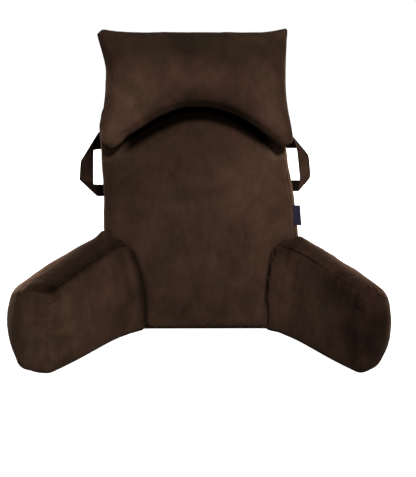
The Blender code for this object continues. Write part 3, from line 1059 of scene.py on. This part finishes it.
# One flat length of the strap: a thin pad with rolled edges, and a stitching line near each
def makeBand(shape, row, band, depthAt, plan):
    _, length = evenPoints([row["corners"][key] for key in band["outer"]], 2)
    count = max(int(length / plan["step"]), 12)
    outer, length = bandRail(row, band, "outer", count, plan["tuck"])
    inner, _ = bandRail(row, band, "inner", count, plan["tuck"])
    shares = [(1 - math.cos(math.pi * j / plan["across"])) / 2 for j in range(plan["across"] + 1)]
    tone, hue = (shape.verts.layers.float[name] for name in ("napAndPaintedLight", "napHue"))
    run = np.linspace(0.0, length, count)

    def rounding(distance):
        return math.sqrt(max(1 - max(1 - distance / plan["edgeRound"], 0.0) ** 2, 0.0))

    def place(i, share):
        flat = outer[i] * (1 - share) + inner[i] * share
        width = np.linalg.norm(outer[i] - inner[i])
        edge = min(share, 1 - share) * width
        end = min(run[i], length - run[i])
        sewn = bell(edge - plan["stitchInset"], plan["grooveWidth"])
        half = plan["thickness"] / 2 + plan["puff"] * math.sin(math.pi * share) - plan["grooveDepth"] * sewn
        half *= rounding(edge) * rounding(end)
        wave = plan["wave"] * noise.noise(Vector((flat[0], flat[1], row["seed"] * 0.1)) * plan["waveScale"])
        middle = Vector((row["side"] * flat[0], depthAt(flat[1]) + band["lift"] + wave, flat[1]))
        return middle, half, edge

    grids = []
    for face in (-1, 1):
        grid = []
        for i in range(count):
            line = []
            for j, share in enumerate(shares):
                onEdge = i in (0, count - 1) or j in (0, plan["across"])
                if face == 1 and onEdge:
                    line.append(grids[0][i][j])
                    continue
                middle, half, edge = place(i, share)
                vertex = shape.verts.new(middle + Vector((0, face * half, 0)))
                # Painted shade in the stitching groove and along the rolled edge
                sewn = 1 - plan["stitchShade"] * bell(edge - plan["stitchInset"], plan["stitchShadeWidth"])
                paintedEdgeShade = 1 - plan["edgeShade"] * bell(edge, plan["edgeShadeWidth"])
                vertex[tone] = band["tone"] * sewn * paintedEdgeShade
                vertex[hue] = band["hue"]
                line.append(vertex)
            grid.append(line)
        grids.append(grid)
        for i in range(count - 1):
            for j in range(plan["across"]):
                ring = (grid[i][j], grid[i + 1][j], grid[i + 1][j + 1], grid[i][j + 1])
                shape.faces.new(ring if (face < 0) == (row["side"] > 0) else ring[::-1])
    # The two stitching lines, on the front and on the rear
    lines = []
    for face in (-1, 1):
        for nearOuter in (True, False):
            line = []
            for i in range(2, count - 2):
                share = plan["stitchInset"] / np.linalg.norm(outer[i] - inner[i])
                middle, half, _ = place(i, share if nearOuter else 1 - share)
                line.append(middle + Vector((0, face * (half + plan["thread"] * 0.2), 0)))
            lines.append(line)
    return lines


# Stitches along lines: short threads, set at an even pitch
def stitchTree():
    tree, given, result = newGroup(
        "threadStitches", "GeometryNodeTree",
        [("Lines", "NodeSocketGeometry", None), ("Pitch", "NodeSocketFloat", 0.0036),
         ("Length", "NodeSocketFloat", 0.0026), ("Thickness", "NodeSocketFloat", 0.0006),
         ("Thread", "NodeSocketMaterial", None)],
        [("Stitches", "NodeSocketGeometry")])
    curve = addNode(tree, "GeometryNodeMeshToCurve", {"Mesh": given["Lines"]})
    steps = addNode(tree, "GeometryNodeResampleCurve", {
        "Curve": curve.outputs[0], "Length": given["Pitch"]}, mode="LENGTH")
    bead = addNode(tree, "GeometryNodeMeshUVSphere", {"Segments": 7, "Rings": 5, "Radius": 0.5})
    tangent = addNode(tree, "GeometryNodeInputTangent")
    turn = addNode(tree, "FunctionNodeAlignRotationToVector", {"Vector": tangent.outputs[0]}, axis="X")
    size = addNode(tree, "ShaderNodeCombineXYZ", {
        "X": given["Length"], "Y": given["Thickness"], "Z": given["Thickness"]})
    placed = addNode(tree, "GeometryNodeInstanceOnPoints", {
        "Points": steps.outputs[0], "Instance": bead.outputs[0], "Rotation": turn.outputs[0],
        "Scale": size.outputs[0]})
    real = addNode(tree, "GeometryNodeRealizeInstances", {0: placed.outputs[0]})
    finish = addNode(tree, "GeometryNodeSetMaterial", {
        "Geometry": real.outputs[0], "Material": given["Thread"]})
    tree.links.new(finish.outputs[0], result["Stitches"])
    return tree


def threadMaterial(color):
    material, tree, shader = newMaterial("brownThread")
    twist = addNode(tree, "ShaderNodeTexNoise", {
        "Vector": objectPlace(tree), "Scale": 900.0, "Detail": 1.0}).outputs["Fac"]
    tone = ramp(tree, twist, 0.3, 0.7, 0.7, 1.3)
    setInputs(tree, shader, {"Base Color": scaled(tree, color[:3], tone), "Roughness": 0.6})
    return material


def setInput(modifier, label, value):
    for item in modifier.node_group.interface.items_tree:
        if item.in_out == "INPUT" and item.name == label:
            modifier[item.identifier] = value


stitches = stitchTree()
thread = threadMaterial(handlePlan["threadColor"])


def makeStitches(name, lines, plan):
    mesh = bpy.data.meshes.new(name)
    points = [point for line in lines for point in line]
    starts = np.cumsum([0] + [len(line) for line in lines])
    edges = [(i, i + 1) for a, b in zip(starts, starts[1:]) for i in range(a, b - 1)]
    mesh.from_pydata(points, edges, [])
    piece = newPiece(name, mesh)
    rows = piece.modifiers.new("stitches", "NODES")
    rows.node_group = stitches
    setInput(rows, "Pitch", plan["stitchPitch"])
    setInput(rows, "Length", plan["stitchLength"])
    setInput(rows, "Thickness", plan["thread"])
    setInput(rows, "Thread", thread)
    evaluated(piece)
    piece.data.shade_smooth()
    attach(piece, "root")
    return piece


def makeHandle(row, plan):
    low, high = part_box(row["node"])
    half = plan["thickness"] / 2
    slope = (high[1] - low[1] - 2 * half) / (high[2] - low[2])

    def depthAt(height):
        return low[1] + half + (height - low[2]) * slope

    shape = bmesh.new()
    for name in ("napAndPaintedLight", "napHue"):
        shape.verts.layers.float.new(name)
    lines = []
    for band in row["bands"]:
        lines += makeBand(shape, row, band, depthAt, plan)
    bmesh.ops.recalc_face_normals(shape, faces=shape.faces)
    piece = pieceFrom(row["name"], shape)
    piece.data.materials.append(strapCloth)
    piece.data.shade_smooth()
    sewing = makeStitches(row["name"] + "Stitches", lines, plan)
    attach(piece, "root")
    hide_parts(row["node"])


for row in handles:
    makeHandle(row, handlePlan)
    print(row["name"], "made")


labelPlan = {
    "layer": 0.0006, "gap": 0.0003, "folded": 0.0016, "sewnIn": 0.006,
    "lean": 0.0022, "steps": 36, "wave": 0.0005,
    "navy": (0.0125, 0.0094, 0.026, 1.0), "edge": (0.055, 0.050, 0.075, 1.0),
    "edgeShare": 0.55, "edgeReach": 0.38,  # how light the woven edge is, and how far out it comes
    "ribs": 900.0, "warps": 850.0,  # threads in a metre
}


# A folded ribbon, left blank
def labelMaterial(plan):
    material, tree, shader = newMaterial("navyRibbon")
    parts = addNode(tree, "ShaderNodeSeparateXYZ", {0: objectPlace(tree)}).outputs
    rib, warp = (maths(tree, "SINE", maths(tree, "MULTIPLY", parts[axis], plan[threads] * 2 * math.pi))
                 for axis, threads in (("Z", "ribs"), ("X", "warps")))
    weave = maths(tree, "MULTIPLY_ADD", warp, 0.4, rib)
    tone = ramp(tree, weave, -1.4, 1.4, 0.7, 1.3)
    color = mixed(tree, attribute(tree, "selvedge"), plan["navy"], plan["edge"])
    bump = addNode(tree, "ShaderNodeBump", {"Strength": 0.5, "Distance": 0.0001, "Height": weave})
    setInputs(tree, shader, {"Base Color": scaled(tree, color, tone), "Normal": bump.outputs["Normal"],
                             "Roughness": 0.55, "Specular IOR Level": 0.12})
    return material


def makeLabel(plan):
    low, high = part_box("label")
    depth = (low[1] + high[1]) / 2
    slope = (high[1] - low[1] - plan["folded"]) / (high[2] - low[2])
    start, reach = low[0] - plan["sewnIn"], high[0]
    side = (plan["gap"] + plan["layer"]) / 2
    # The ribbon's middle line seen from above: out, round the fold, and back
    path = [(start + (reach - side - start) * k / 10, -side) for k in range(11)]
    path += [(reach - side + side * math.sin(math.pi * k / 6), -side * math.cos(math.pi * k / 6))
             for k in range(1, 7)]
    path += [(reach - side + (start - reach + side) * k / 10, side) for k in range(1, 11)]
    path = np.array(path)
    across = np.gradient(path, axis=0)
    across = unit(np.stack([across[:, 1], -across[:, 0]], axis=1))
    ring = np.vstack([path + across * plan["layer"] / 2, (path - across * plan["layer"] / 2)[::-1]])
    shape = bmesh.new()
    selvedge = shape.verts.layers.float.new("selvedge")
    rows = []
    for k in range(plan["steps"] + 1):
        share = k / plan["steps"]
        height = low[2] + (high[2] - low[2]) * share
        line = []
        for x, y in ring:
            out = (x - start) / (reach - start)
            slant = plan["lean"] * (1 - 2 * share) * out
            wave = plan["wave"] * out * math.sin(5 * share + 2 * out)
            lean = (height - (low[2] + high[2]) / 2) * slope
            vertex = shape.verts.new((x + slant, depth + lean + y + wave, height))
            vertex[selvedge] = plan["edgeShare"] if out < plan["edgeReach"] else 0.0
            line.append(vertex)
        rows.append(line)
    count = len(ring)
    for lower, upper in zip(rows, rows[1:]):
        for i in range(count):
            shape.faces.new((lower[i], lower[(i + 1) % count], upper[(i + 1) % count], upper[i]))
    half = count // 2
    for line in (rows[0], rows[-1]):
        for i in range(half - 1):
            shape.faces.new((line[i], line[i + 1], line[count - 2 - i], line[count - 1 - i]))
    bmesh.ops.recalc_face_normals(shape, faces=shape.faces)
    piece = pieceFrom("sideLabel", shape)
    piece.data.materials.append(labelMaterial(plan))
    piece.data.shade_smooth()
    piece.data.set_sharp_from_angle(angle=math.radians(50))
    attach(piece, "root")
    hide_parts("label")


makeLabel(labelPlan)
print("label made")


floorPlan = {"half": 12.0, "seen": 0.5, "glow": 1.0, "bounce": 0.2}


# A pale floor that the camera sees near white, and that throws little light back
def makeFloor(plan):
    material, tree, shader = newMaterial("paleFloor")
    setInputs(tree, shader, {"Base Color": (plan["seen"],) * 3 + (1,), "Roughness": 0.9,
                             "Emission Color": (1, 1, 1, 1), "Emission Strength": plan["glow"]})
    dim = addNode(tree, "ShaderNodeBsdfDiffuse", {"Color": (plan["bounce"],) * 3 + (1,)})
    both = byCamera(tree, dim.outputs[0], shader.outputs[0])
    tree.links.new(both, tree.nodes["Material Output"].inputs["Surface"])
    shape = bmesh.new()
    bmesh.ops.create_grid(shape, x_segments=1, y_segments=1, size=plan["half"])
    floor = pieceFrom("floor", shape)
    floor.data.materials.append(material)


makeFloor(floorPlan)
print("floor made")
